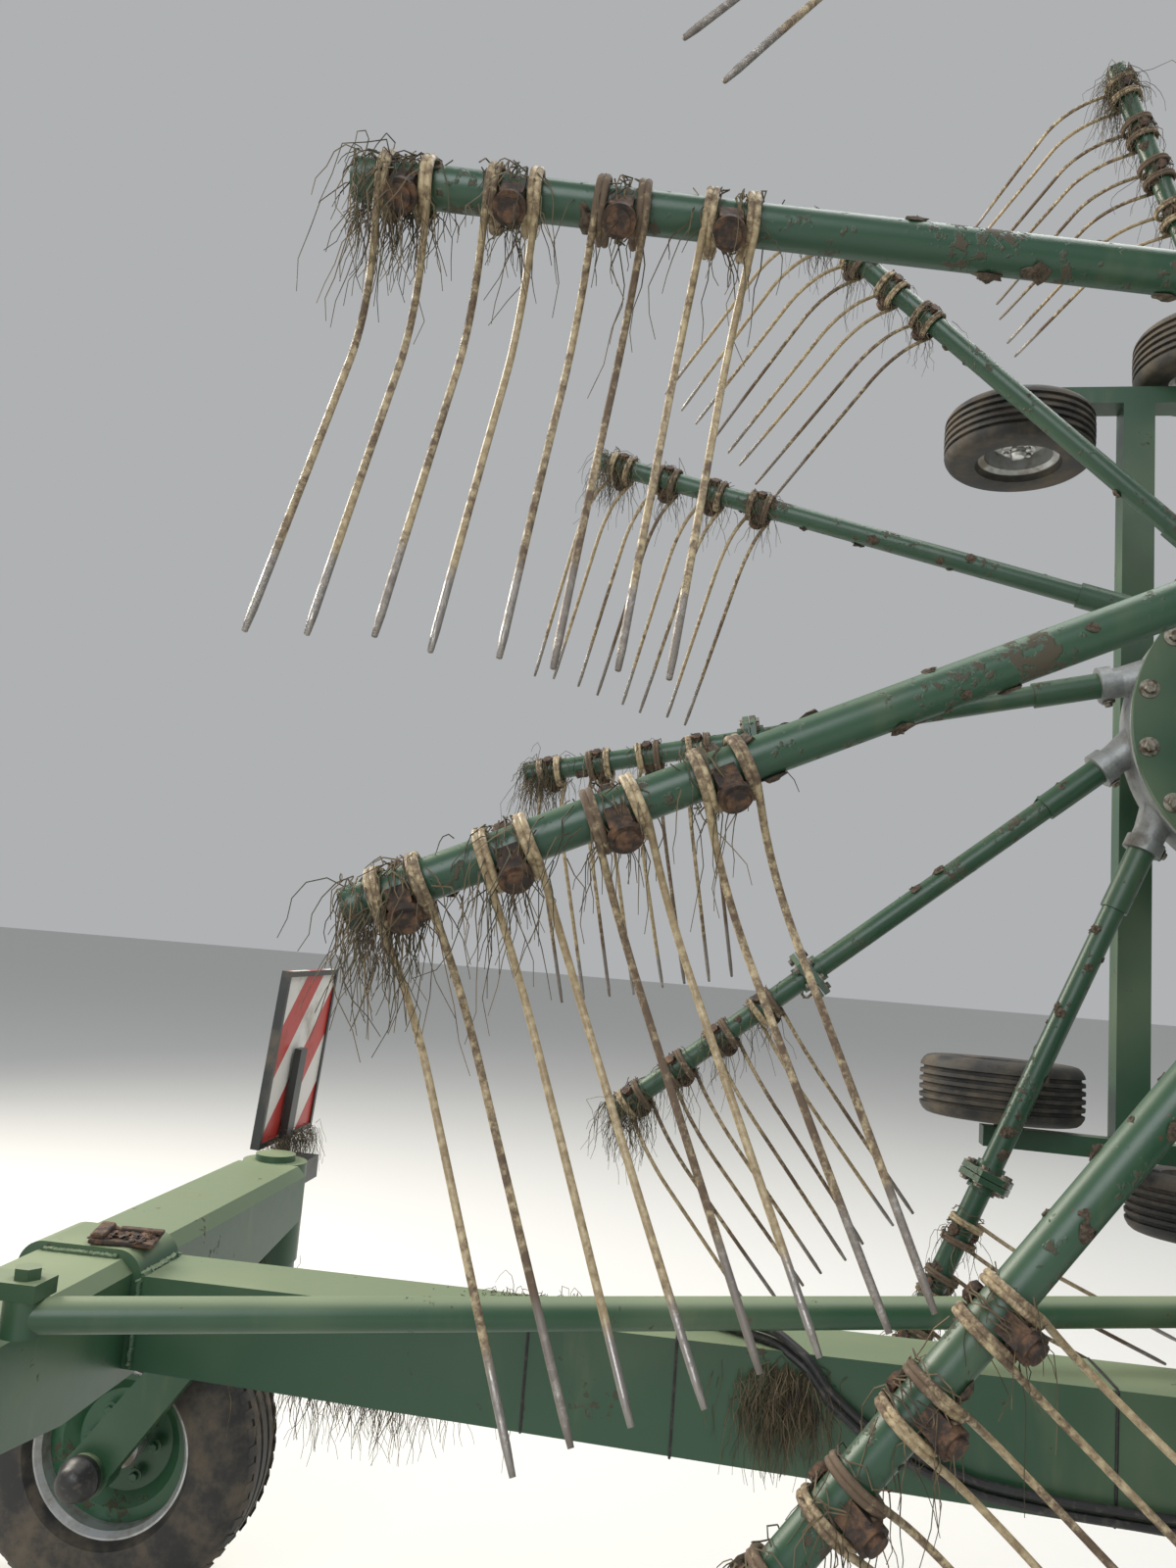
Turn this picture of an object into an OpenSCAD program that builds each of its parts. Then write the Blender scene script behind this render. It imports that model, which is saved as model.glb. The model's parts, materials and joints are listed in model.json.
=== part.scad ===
// Twin-rotor rotary hay rake, trailed, with both rotors folded up for the road.
// +X is the way it travels, +Y its left side, Z = 0 the ground.

/* [Rotor place when folded] */
// Hub ahead of the origin
hub_x = 128; // [100:1:160]
// Hub to the side of the machine's mid plane
hub_y = 706; // [690:1:730]
// Hub above the ground
hub_z = 2369; // [2340:1:2400]
// Toe of the folded rotor, front edge towards the machine
rotor_toe = 5; // [3:0.5:6]
// Lean of the folded rotor, top away from the machine
rotor_lean = 2; // [1:0.5:3]

/* [Rotor] */
// Arms on one rotor
arm_count = 13; // [11:1:13]
// Distance of an arm's axis from the hub's axis
arm_offset = 190; // [170:5:200]
// Length along the arm from the foot of that offset to its end
arm_reach = 1832; // [1800:1:1850]
// Diameter of the arm's tube
arm_d = 51; // [46:1:54]
// Diameter of the larger sleeve at the arm's root
sleeve_d = 62; // [58:1:66]
// Where the sleeve ends, along the arm
sleeve_end = 552; // [500:1:600]
// Where the cast socket ends, along the arm
socket_end = 400; // [380:1:420]
// Diameter of the cast socket
socket_d = 74; // [68:1:78]
// Diameter of the socket's collar
collar_d = 88; // [82:1:94]
// Radius of the rotor's drum
drum_r = 372; // [350:1:385]
// Thickness of the drum
drum_t = 150; // [140:1:160]
// First arm of the left rotor, from the rear, upwards
left_phase = -11.8; // [-14:0.1:14]
// First arm of the right rotor, from the rear, upwards
right_phase = -24.75; // [-27:0.05:0]

/* [Tines] */
// Diameter of the tine's wire
wire_d = 9.5; // [8:0.5:10]
// Double tines on one arm
tine_pairs = 4; // [3:1:4]
// Distance between double tines
pair_pitch = 130; // [120:1:136]
// Distance between the two coils of a double tine
coil_gap = 60; // [54:1:66]
// Centre of the outermost double tine, along the arm
pair_end = 1765; // [1740:1:1780]
// Air between the coil and the arm's tube
coil_air = 5.8; // [5.4:0.1:6.4]
// How far the tine's tip trails behind the arm
tine_trail = 590; // [560:5:610]
// How far the tine's tip stands away from the rotor's plane
tine_drop = 128; // [110:1:140]
// How far the tip is farther out than the coil
tine_flare = 35; // [25:1:45]
// Straight run from the coil to the knee's corner
knee_run = 138; // [130:1:146]
// Length of the knee's bend on either side of its corner
knee_cut = 90; // [80:1:96]
// Turn of an arm by the cam at the front of the rotor
cam_roll = 46; // [40:1:46]
// Place of the flange joint along an arm
flange_at = 1240; // [1220:1:1260]

/* [Running gear] */
// Cross tube behind the hub's axis
post_back = 280; // [260:1:300]
// Width of the square cross tube
post_w = 80; // [70:1:90]
// Axles below the arms' plane
gear_drop = 290; // [280:1:310]
// Half the distance between the two tandem beams
tandem_half = 1000; // [980:1:1010]
// Width of a tandem beam
tandem_w = 48; // [40:1:54]
// Height of a tandem beam
tandem_h = 76; // [70:1:84]
// Middle of the tandem behind the hub's axis
tandem_back = 335; // [320:1:345]
// Distance between a tandem's axles
tandem_base = 500; // [480:1:510]
// Wheel centre to tandem beam
wheel_side = 116; // [112:1:124]
// Diameter of a small tyre
gauge_d = 400; // [380:1:404]
// Width of a small tyre
gauge_w = 150; // [140:1:156]
// Diameter of a small wheel's rim
gauge_rim_d = 214; // [200:1:224]
// Diameter of a small wheel's axle
gauge_axle_d = 30; // [26:1:34]

/* [Booms] */
// Fold hinge below the hub
hinge_drop = 1570; // [1560:1:1580]
// Fold hinge inside the arms' plane
hinge_in = 290; // [280:1:300]
// Outer boom's width
boom_w = 140; // [130:1:150]
// Outer boom's depth
boom_t = 120; // [110:1:126]
// Wall of the inner boom
boom_wall = 12; // [10:1:14]
// Sliding clearance between the two booms
boom_slip = 5; // [5:0.5:6]
// Half the width of the fold hinge
hinge_half = 240; // [220:1:250]
// Diameter of the fold hinge's tube
hinge_d = 110; // [100:1:116]
// Diameter of the fold hinge's pin
hinge_pin_d = 50; // [44:1:54]
// Side of the boom to the middle of its cylinder
ram_side = 176; // [170:1:184]
// Diameter of the cylinder's barrel
ram_d = 70; // [64:1:76]
// Diameter of the cylinder's rod
ram_rod_d = 36; // [32:1:40]
// Length of the barrel
ram_len = 470; // [450:1:490]
// Cylinder's pin on the boom, above the fold hinge
ram_pin_up = 270; // [260:1:280]

/* [Frame] */
// Width of the main beam
beam_w = 150; // [140:1:160]
// Height of the main beam's top face
beam_top = 1120; // [1110:1:1130]
// Depth of the main beam at its rear end
beam_rear_h = 156; // [146:1:166]
// Depth of the main beam at the booms
beam_mid_h = 216; // [206:1:226]
// Steering pivot of the headstock ahead of the origin
yaw_x = 2450; // [2400:10:2500]
// Lower-link pins ahead of the steering pivot
link_reach = 505; // [495:5:515]
// Height of the lower-link pins
link_z = 720; // [700:5:740]
// Distance between the lower-link pins' shoulders
link_span = 825; // [800:5:840]
// Diameter of a lower-link pin
link_pin_d = 28; // [26:1:30]
// Rear crossbeam behind the origin
cross_x = 2260; // [2240:5:2280]
// Half the crossbeam's length, to the steering axes
cross_half = 880; // [860:5:900]
// Width of the crossbeam
cross_w = 200; // [190:1:210]
// Height of the crossbeam's top
cross_top = 1145; // [1135:1:1146]

/* [Rear wheels] */
// Diameter of a rear tyre
tyre_d = 760; // [740:1:766]
// Width of a rear tyre
tyre_w = 255; // [245:1:264]
// Diameter of a rear rim
rim_d = 414; // [400:1:424]
// Rear axle behind the steering axis
wheel_trail = 360; // [350:1:370]
// Steering axis to the middle of the rear wheel, sideways
wheel_out = 130; // [126:1:140]
// Diameter of a rear axle
axle_d = 50; // [44:1:56]

/* [Hidden] */
$fn = 48;

paint = [0.09, 0.25, 0.13];
cast = [0.55, 0.56, 0.55];
wire = [0.72, 0.62, 0.42];
rubber = [0.07, 0.07, 0.07];
steel = [0.62, 0.63, 0.64];
rust = [0.25, 0.17, 0.12];

run_gap = 0.1;
seat_gap = 0.3;
move_gap = 8;

arm_pitch = 360 / arm_count;
saddle_t = 15;
saddle_r = 45;
beam_rear_x = -cross_x + cross_w / 2 + saddle_t + seat_gap;
cross_h = 180;
track_half = cross_half + wheel_out;
carrier_top = beam_top - beam_mid_h - seat_gap;
king_tube_d = 160;
king_tube_l = 240;
king_d = 70;
yaw_z = 990;
relay_x = -300;
relay_y = -165;
relay_pin_d = 40;
rear_arm = 230;
front_arm = 165;
rod_pin_d = 22;
rear_rod_d = 50;
front_rod_d = 40;
tie_rod_d = 36;
plate_t = 20;
eye_d = 56;
eye_more = 2;
rod_front_z = 1154;
rod_rear_z = 1178;
plate_z = rod_front_z + (front_rod_d + eye_more + plate_t) / 2 + seat_gap;
rod_z = plate_z + (rear_rod_d + eye_more + plate_t) / 2 + seat_gap;
rod_head_z = 1166;
head_arm_z = rod_head_z - (front_rod_d + eye_more + plate_t) / 2 - seat_gap;
knuckle_pin_x = -2120;
knuckle_pin_y = cross_half - 387;
knuckle_low = cross_top - king_tube_l - seat_gap;
lever_t = 24;
lever_z = rod_rear_z + (rear_rod_d + eye_more + lever_t) / 2 + seat_gap;
leg_w = 66;
tie_back = 170;
tie_z = knuckle_low - 25 + (tie_rod_d + eye_more + lever_t) / 2 + seat_gap;
panel_y = cross_half + 280;
drum_in = drum_t / 2 + 25;
cover_t = 20;
cover_dome = 38;
column_r = 78;
inner_w = boom_w + 2 * (boom_slip + boom_wall);
inner_t = boom_t + 2 * (boom_slip + boom_wall);
boom_y = -hinge_in;
hinge_z = -hinge_drop;
inner_top = -660;
outer_low = hinge_z + hinge_d / 2 + 50;
gearbox_top = -drum_in - cover_dome - move_gap - 2;
boom_in_face = hinge_in - boom_t / 2;
gearbox_h = boom_in_face + gearbox_top;
ram_base_y = -870;
ram_base_z = -950;
ram_tip_y = boom_y;
ram_tip_z = hinge_z + ram_pin_up;
ram_run = norm([ram_tip_y - ram_base_y, ram_tip_z - ram_base_z]);
ram_tilt = atan2(ram_tip_z - ram_base_z, ram_tip_y - ram_base_y);
left_flanged = [0, 11, 12];
right_flanged = [9, 10, 11];

// Columns: distance behind the hub's axis, side of the tandem beam
front_axle = [tandem_back - tandem_base / 2, 1];
rear_axle = [tandem_back + tandem_base / 2, -1];

// Puts a left-hand shape on the left (side 1) or mirrors it to the right (side -1).
module on_side(side) {
  if (side > 0) children();
  else mirror([0, 1, 0]) children();
}

// A folded rotor's own frame: X forwards, Y out along its axis, Z up, origin at the hub.
module rotor_frame(side) {
  on_side(side) translate([hub_x, hub_y, hub_z]) rotate([-rotor_lean, 0, -rotor_toe]) children();
}

// A box by its middle.
module block(size) {
  translate(-size / 2) cube(size);
}

// A round bar along X, Y or Z, centred.
module bar_x(d, l) { rotate([0, 90, 0]) cylinder(d = d, h = l, center = true); }
module bar_y(d, l) { rotate([90, 0, 0]) cylinder(d = d, h = l, center = true); }
module bar_z(d, l) { cylinder(d = d, h = l, center = true); }

// How far the cam turns the arm that stands at this angle, tips outwards.
function ease(x) = x < 0 ? 0 : x > 1 ? 1 : x * x * (3 - 2 * x);
function arm_angle(i, phase) = (phase + i * arm_pitch + 540) % 360 - 180;
function arm_roll(angle) = -cam_roll * max(ease((angle - 30) / 45), ease((-50 - angle) / 60));

// The arm's frame: X along the arm, Y out of the rotor's plane, Z the way the tines trail.
module each_arm(side, picks = [0 : arm_count - 1]) {
  phase = side > 0 ? left_phase : right_phase;
  for (i = picks)
    rotate([0, 180 + phase + i * arm_pitch, 0]) translate([0, 0, -arm_offset])
      rotate([arm_roll(arm_angle(i, phase)), 0, 0]) children();
}

module rod_between(a, b, d) {
  v = b - a;
  translate(a) rotate([0, atan2(norm([v[0], v[1]]), v[2]), atan2(v[1], v[0])])
    cylinder(d = d, h = norm(v));
}

// Main beam: a tapered box from the crossbeam to the headstock's pivot.
module main_beam() {
  color(paint) {
    rotate([90, 0, 0]) linear_extrude(height = beam_w, center = true) polygon([
        [beam_rear_x, beam_top - beam_rear_h], [hub_x - 600, beam_top - beam_mid_h + 10],
        [hub_x - 400, beam_top - beam_mid_h], [hub_x + 600, beam_top - beam_mid_h], [yaw_x - 140, 905],
        [yaw_x - 60, 905], [yaw_x - 60, 1075], [yaw_x - 140, 1075], [hub_x + 900, beam_top], [beam_rear_x, beam_top]
      ]);
    translate([yaw_x, 0, yaw_z]) difference() {
      bar_z(150, 180);
      bar_z(king_d + 2 * run_gap, 190);
    }
    // Bracket and pin of the relay lever
    translate([relay_x, relay_y / 2 - 40, beam_top - 30]) block([90, -relay_y - 20, 50]);
    translate([relay_x, relay_y, beam_top - 30]) bar_z(90, 60);
    translate([relay_x, relay_y, (beam_top + plate_z) / 2]) bar_z(relay_pin_d, plate_z - beam_top + 60);
  }
}

// Four cheeks on the beam's sides, with the cylinders' base pins between them.
module ram_tower() {
  color(paint) difference() {
    for (s = [-1, 1]) rotor_frame(s) {
      for (k = [-1, 1]) translate([-s * ram_side + k * 46, 0, 0]) rotate([90, 0, 90])
        linear_extrude(height = 12, center = true)
          polygon([[-725, -1436], [-725, -1290], [-745, -1280], [-745, -1200], [-822, -932], [-832, -912],
                   [-852, -903], [-892, -903], [-910, -912], [-917, -932], [-915, -1000], [-790, -1436]]);
      for (k = [-1, 1]) translate([-s * ram_side + k * 56, ram_base_y, ram_base_z]) bar_x(60, 12);
      translate([-s * ram_side, ram_base_y, ram_base_z]) bar_x(35, 80 - 2 * seat_gap);
    }
    translate([hub_x, 0, beam_top - 290]) block([800, beam_w + 2 * seat_gap, 580 + 2 * seat_gap]);
  }
}

// Rear crossbeam with the steering axes' tubes at its ends.
module crossbeam() {
  half = cross_w / 2 + saddle_t;
  top = cross_top + saddle_t;
  low = beam_top - beam_rear_h;
  bevel = 22;
  color(paint) difference() {
    union() {
      rotate([90, 0, 90]) translate([0, 0, -cross_x - cross_w / 2]) linear_extrude(height = cross_w) polygon([
          [-cross_half + 50, cross_top - bevel], [-cross_half + 50, cross_top - 125], [-260, cross_top - cross_h - 25],
          [260, cross_top - cross_h - 25], [cross_half - 50, cross_top - 125], [cross_half - 50, cross_top - bevel]
        ]);
      rotate([90, 0, 0]) linear_extrude(height = 2 * cross_half - 100, center = true) polygon([
          [-cross_x - cross_w / 2, cross_top - bevel], [-cross_x + cross_w / 2, cross_top - bevel],
          [-cross_x + cross_w / 2 - bevel, cross_top], [-cross_x - cross_w / 2 + bevel, cross_top]
        ]);
      for (s = [-1, 1]) translate([-cross_x, s * cross_half, cross_top - king_tube_l / 2]) bar_z(king_tube_d, king_tube_l);
      // Bent saddle plate that the main beam is welded to
      for (s = [-1, 1]) translate([-cross_x + s * (half - saddle_r), 0, top - saddle_r]) bar_y(2 * saddle_r, beam_w);
      translate([-cross_x, 0, top - saddle_r / 2]) block([2 * (half - saddle_r), beam_w, saddle_r]);
      translate([-cross_x, 0, (top - saddle_r + low) / 2]) block([2 * half, beam_w, top - saddle_r - low]);
    }
    for (s = [-1, 1]) translate([-cross_x, s * cross_half, cross_top - king_tube_l / 2])
      bar_z(king_d + 2 * run_gap, king_tube_l + 10);
  }
}

// Crossmember under the beam that carries both booms, with the tower for the cylinders.
module boom_carrier() {
  color(paint) {
    translate([hub_x, 0, carrier_top - 60]) block([2 * hinge_half + 130, 380, 120]);
    for (s = [-1, 1]) rotor_frame(s) {
      for (u = [-1, 1]) translate([u * (hinge_half + 20), boom_y, hinge_z]) {
        difference() {
          union() {
            bar_x(120, 24);
            translate([0, -110, 0]) block([24, 220, 110]);
          }
          bar_x(hinge_pin_d + 2 * run_gap, 60);
        }
      }
    }
  }
}

module gearbox() {
  color(cast) translate([hub_x, 0, carrier_top - 120 - seat_gap - 100]) block([300, 260, 200]);
}

// Warning panels at the crossbeam's ends, on leaning uprights.
module warning_panels() {
  for (s = [-1, 1]) translate([-cross_x - 85, s * panel_y, cross_top + 5]) rotate([0, 4, 0]) {
    color("white") translate([0, 0, 235]) block([12, 390, 440]);
    color(paint) {
      for (k = [-1, 1]) translate([0, k * 202.5, 235]) block([24, 15, 470]);
      for (z = [7.5, 462.5]) translate([0, 0, z]) block([24, 420, 15]);
      translate([22, -s * 40, 90]) block([20, 50, 330]);
    }
  }
  color(paint) for (s = [-1, 1])
    translate([-cross_x - 35, s * (panel_y + king_tube_d / 2 + cross_half) / 2, cross_top - 60])
      block([120, panel_y - cross_half - king_tube_d / 2 - 2 * seat_gap, 60]);
}

module headstock() {
  color(paint) {
    translate([yaw_x, 0, yaw_z]) bar_z(king_d, 220);
    for (s = [-1, 1]) translate([yaw_x + 60, 0, yaw_z + s * (90 + seat_gap + 12)]) block([200, 150, 24]);
    translate([yaw_x + 130, 0, yaw_z]) block([60, 150, 2 * (90 + seat_gap + 24)]);
    translate([yaw_x + 130 + (link_reach - 130) / 2, 0, yaw_z - 90]) block([link_reach - 130, 110, 110]);
    translate([yaw_x + link_reach, 0, (yaw_z + link_z) / 2 - 40]) block([90, 110, yaw_z - link_z]);
    translate([yaw_x + link_reach, 0, link_z]) block([90, link_span - 60, 90]);
    translate([yaw_x, -front_arm / 2, head_arm_z]) block([60, front_arm + 60, plate_t]);
    translate([yaw_x, 0, (yaw_z + 90 + head_arm_z) / 2 + 8]) bar_z(100, head_arm_z - yaw_z - 90);
    translate([yaw_x, -front_arm, (head_arm_z + rod_head_z) / 2 + 12]) bar_z(rod_pin_d, rod_head_z - head_arm_z + 44);
    for (s = [-1, 1]) translate([yaw_x + link_reach, s * (link_span / 2 + 25), link_z]) bar_y(link_pin_d, 110);
  }
}

// Steering rod between two pins, with an eye at each end: bored ones take a pin.
module steering_rod(a, b, d, bored) {
  difference() {
    union() {
      rod_between(a, b, d);
      for (p = [a, b]) translate(p) bar_z(eye_d, d + eye_more);
    }
    for (p = bored) translate(p) bar_z(rod_pin_d + 2 * run_gap, d + 20);
  }
}

module relay_lever() {
  color(paint) {
    difference() {
      union() {
        translate([relay_x, relay_y, plate_z]) bar_z(90, plate_t);
        translate([relay_x, relay_y + rear_arm / 2, plate_z]) block([60, rear_arm + 40, plate_t]);
      }
      translate([relay_x, relay_y, plate_z]) bar_z(relay_pin_d + 2 * run_gap, 60);
    }
    translate([relay_x, relay_y + rear_arm, (plate_z + rod_z) / 2 + 18]) bar_z(rod_pin_d, rod_z - plate_z + 36);
  }
}
module front_steering_rod() {
  relay_end = [relay_x, relay_y + front_arm, rod_front_z];
  head_end = [yaw_x, -front_arm, rod_head_z];
  color(paint) steering_rod(relay_end, head_end, front_rod_d, [head_end]);
}
module rear_steering_rod() {
  relay_end = [relay_x, relay_y + rear_arm, rod_z];
  knuckle_end = [knuckle_pin_x, -knuckle_pin_y, rod_rear_z];
  color(paint) steering_rod(relay_end, knuckle_end, rear_rod_d, [relay_end]);
}
module tie_rod() {
  ends = [for (s = [-1, 1]) [-cross_x - tie_back, s * cross_half, tie_z]];
  color(paint) steering_rod(ends[0], ends[1], tie_rod_d, ends);
}

// Knuckle: kingpin, square leg and the stub axle, with a capped boss on the inner side.
module knuckle(side) {
  top = cross_top + seat_gap;
  leg_y = cross_half - 15 - leg_w / 2;
  color(paint) on_side(side) {
    translate([-cross_x, cross_half, (top + knuckle_low) / 2 - 10]) bar_z(king_d, top - knuckle_low + 40);
    translate([-cross_x, cross_half, knuckle_low - 25]) bar_z(150, 50);
    translate([-cross_x, cross_half, top + 8]) bar_z(100, 16);
    hull() {
      translate([-cross_x - 10, leg_y, knuckle_low - 45]) block([96, leg_w, 20]);
      translate([-cross_x - wheel_trail + 10, leg_y, tyre_d / 2 + 20]) block([90, leg_w, 60]);
    }
    translate([-cross_x - wheel_trail, leg_y, tyre_d / 2]) bar_y(120, leg_w);
    translate([-cross_x - wheel_trail, leg_y - leg_w / 2 - 10, tyre_d / 2]) bar_y(96, 24);
    translate([-cross_x - wheel_trail, leg_y - leg_w / 2 - 22, tyre_d / 2]) rotate([90, 0, 0]) cylinder(d1 = 78, d2 = 40, h = 24);
    translate([-cross_x - wheel_trail, (leg_y + track_half + 90) / 2, tyre_d / 2])
      bar_y(axle_d, track_half + 90 - leg_y);
    // Lever for the tie rod, behind the crossbeam
    translate([-cross_x - tie_back / 2, cross_half, knuckle_low - 25]) block([tie_back + 50, 60, lever_t]);
    translate([-cross_x - tie_back, cross_half, (knuckle_low - 25 + tie_z) / 2 + 14]) bar_z(rod_pin_d, tie_z - knuckle_low + 53);
    // Lever for the steering rod, over the crossbeam
    if (side < 0) {
      translate([-cross_x, cross_half, (top + lever_z + lever_t / 2) / 2]) bar_z(90, lever_z + lever_t / 2 - top);
      translate([-cross_x, (cross_half + knuckle_pin_y) / 2, lever_z])
        block([60, cross_half - knuckle_pin_y + 60, lever_t]);
      translate([(-cross_x + knuckle_pin_x) / 2, knuckle_pin_y, lever_z])
        block([knuckle_pin_x + cross_x + 60, 60, lever_t]);
      translate([knuckle_pin_x, knuckle_pin_y, lever_z + lever_t / 2 + 7]) cylinder(d = 40, h = 18, $fn = 6, center = true);
    }
  }
}

// A tyre's section: straight foot, bulging wall, rounded shoulder and nearly flat tread.
module tyre(d, w, rim_size, crown) {
  foot = rim_size / 2 + seat_gap;
  wall = [for (a = [-60 : 20 : 60]) [foot + (d / 2 - foot) * (0.45 + 0.42 * sin(a)), w / 2 * (0.88 + 0.12 * cos(a))]];
  half = concat([[foot, w * 0.36]], wall, [[d / 2 - crown * 0.4, w / 2 - crown * 0.55], [d / 2, w / 2 - crown * 1.5]]);
  rotate_extrude(convexity = 4) polygon(concat(half, [for (i = [len(half) - 1 : -1 : 0]) [half[i][0], -half[i][1]]]));
}

// A rim with its dish: the disc steps in from the ring to the hub.
module rim(rim_size, w, bore) {
  ring = rim_size / 2;
  well = ring - 16;
  hub = bore / 2 + 30;
  rotate_extrude(convexity = 4) polygon([
    [bore / 2 + run_gap, -w * 0.2], [hub, -w * 0.2], [hub, -w * 0.04 - 8], [hub + (well - hub) * 0.45, -w * 0.04 - 8],
    [hub + (well - hub) * 0.7, w * 0.08 - 8], [well, w * 0.08 - 8], [well, -w * 0.3], [ring - 5, -w * 0.36],
    [ring, -w * 0.36], [ring, w * 0.36], [ring - 5, w * 0.36], [well, w * 0.3], [well, w * 0.08 + 4],
    [hub + (well - hub) * 0.75, w * 0.08 + 4], [hub + (well - hub) * 0.5, -w * 0.04 + 4], [hub, -w * 0.04 + 4],
    [hub, w * 0.2], [bore / 2 + run_gap, w * 0.2]
  ]);
}

module rear_wheel_place(side) {
  on_side(side) translate([-cross_x - wheel_trail, track_half, tyre_d / 2]) rotate([90, 0, 0]) children();
}
module rear_tyre(side) { color(rubber) rear_wheel_place(side) tyre(tyre_d, tyre_w, rim_d, 40); }
module rear_rim(side) { color(steel) rear_wheel_place(side) rim(rim_d, tyre_w, axle_d); }

module jack_tube() {
  color(paint) translate([1650, 75 + 45 + seat_gap, 900]) difference() {
    union() {
      bar_z(80, 500);
      translate([0, -30, 100]) block([60, 30, 120]);
    }
    translate([0, 0, -10]) bar_z(62, 500);
  }
}
module jack_leg() {
  color(steel) translate([1650, 75 + 45 + seat_gap, 0]) {
    translate([0, 0, 6]) bar_z(200, 12);
    translate([0, 0, 421]) bar_z(60, 818);
  }
}

// Inner boom: a box tube from the fold hinge, open at its top for the outer boom.
module inner_boom(side) {
  color(paint) rotor_frame(side) {
    difference() {
      union() {
        translate([0, boom_y, (hinge_z + 40 + inner_top) / 2])
          block([inner_w, inner_t, inner_top - hinge_z - 40]);
        translate([0, boom_y, hinge_z]) bar_x(hinge_d, 2 * hinge_half);
      }
      translate([0, boom_y, inner_top - 400 + hinge_d / 2])
        block([boom_w + 2 * boom_slip, boom_t + 2 * boom_slip, 2 * (inner_top - hinge_z) - 800]);
      translate([0, boom_y, hinge_z]) bar_x(hinge_pin_d + 2 * run_gap, 2 * hinge_half + 10);
    }
    // Wear pads the outer boom slides on
    for (k = [-1, 1]) {
      translate([k * (boom_w / 2 + run_gap + 4), boom_y, inner_top - 40]) block([8, 80, 60]);
      translate([0, boom_y + k * (boom_t / 2 + run_gap + 4), inner_top - 40]) block([90, 8, 60]);
    }
    // Boss for the cylinder's end, clear of the rod's eye
    translate([-side * (inner_w / 2 + ram_side - 28) / 2, ram_tip_y, ram_tip_z])
      bar_x(60, ram_side - 26 - inner_w / 2);
  }
}

module outer_boom(side) {
  color(paint) rotor_frame(side) {
    translate([0, boom_y, (outer_low + 120) / 2 ]) block([boom_w, boom_t, 120 - outer_low]);
  }
}

module ram_frame(side) {
  rotor_frame(side) translate([-side * ram_side, ram_base_y, ram_base_z]) rotate([ram_tilt, 0, 0]) children();
}
module ram_barrel(side) {
  color(paint) ram_frame(side) {
    difference() {
      union() {
        bar_x(60, 78);
        translate([0, ram_len / 2, 0]) bar_y(ram_d, ram_len);
      }
      bar_x(35 + 2 * run_gap, 90);
      translate([0, ram_len / 2 + 50, 0]) bar_y(ram_rod_d + 1, ram_len);
    }
  }
}
module ram_rod(side) {
  color(steel) ram_frame(side) {
    translate([0, 65 + (ram_run - 75) / 2, 0]) bar_y(ram_rod_d, ram_run - 75);
    translate([0, ram_run, 0]) bar_x(64, 44);
    translate([-side * 26, ram_run, 0]) bar_x(35, 12);
  }
}

module rotor_gearbox(side) {
  color(paint) rotor_frame(side) {
    translate([0, gearbox_top - gearbox_h / 2, 0]) bar_y(300, gearbox_h);
  }
}

// Running gear: column through the drum, cross tube and two tandem beams with their axles.
module running_gear(side) {
  color(paint) rotor_frame(side) {
    column_len = gear_drop - gearbox_top;
    translate([0, gearbox_top + column_len / 2, 0]) bar_y(2 * column_r, column_len);
    translate([-post_back / 2, gear_drop, 0]) block([post_back + post_w, post_w, 150]);
    translate([-post_back, gear_drop, 0]) block([post_w, post_w, 2 * tandem_half - tandem_w]);
    for (s = [-1, 1]) {
      translate([-tandem_back, gear_drop, s * tandem_half]) block([tandem_base + 90, tandem_h, tandem_w]);
      for (a = [front_axle, rear_axle])
        translate([-a[0], gear_drop, s * (tandem_half + a[1] * wheel_side / 2 + a[1] * 20)])
          bar_z(gauge_axle_d, wheel_side + 50);
    }
  }
}

// Cast housing of the rotor with the arms' sockets and their collars.
module drum(side) {
  color(cast) rotor_frame(side) difference() {
    union() {
      rotate([90, 0, 0]) rotate_extrude(convexity = 4) polygon([
        [20, drum_in], [drum_r - 42, drum_in], [drum_r, drum_in - 42], [drum_r, -drum_t / 2 + 34],
        [drum_r - 34, -drum_t / 2], [20, -drum_t / 2]
      ]);
      each_arm(side) {
        translate([230, 0, 0]) rotate([0, 90, 0]) cylinder(d1 = socket_d + 40, d2 = socket_d, h = 120);
        translate([(300 + socket_end) / 2, 0, 0]) bar_x(socket_d, socket_end - 300);
        translate([socket_end - 15, 0, 0]) bar_x(collar_d, 30);
      }
    }
    bar_y(2 * column_r + 2 * seat_gap, 2 * drum_in + 20);
  }
}

// Cover plate on the housing's inner side, with its raised middle.
module cover(side) {
  color(paint) rotor_frame(side) difference() {
    union() {
      translate([0, -drum_in - seat_gap - cover_t / 2, 0]) bar_y(2 * drum_r + 16, cover_t);
      translate([0, -drum_in - cover_dome / 2, 0]) bar_y(540, cover_dome - 2 * seat_gap);
    }
    bar_y(2 * column_r + 2 * seat_gap, 2 * drum_in + 200);
  }
}

module arms(side) {
  color(paint) rotor_frame(side) {
    each_arm(side) {
      translate([(socket_end + arm_reach) / 2, 0, 0]) bar_x(arm_d, arm_reach - socket_end);
      translate([(socket_end + sleeve_end) / 2, 0, 0]) bar_x(sleeve_d, sleeve_end - socket_end);
    }
    // Flange joints of the arms that are taken off for the road
    each_arm(side, side > 0 ? left_flanged : right_flanged) {
      for (k = [-1, 1]) translate([flange_at + k * 8, 0, 0]) rotate([0, 90, 0]) cylinder(d = 124, h = 14, $fn = 6, center = true);
      translate([flange_at, 0, 0]) bar_x(arm_d + 14, 66);
    }
  }
}

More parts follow.
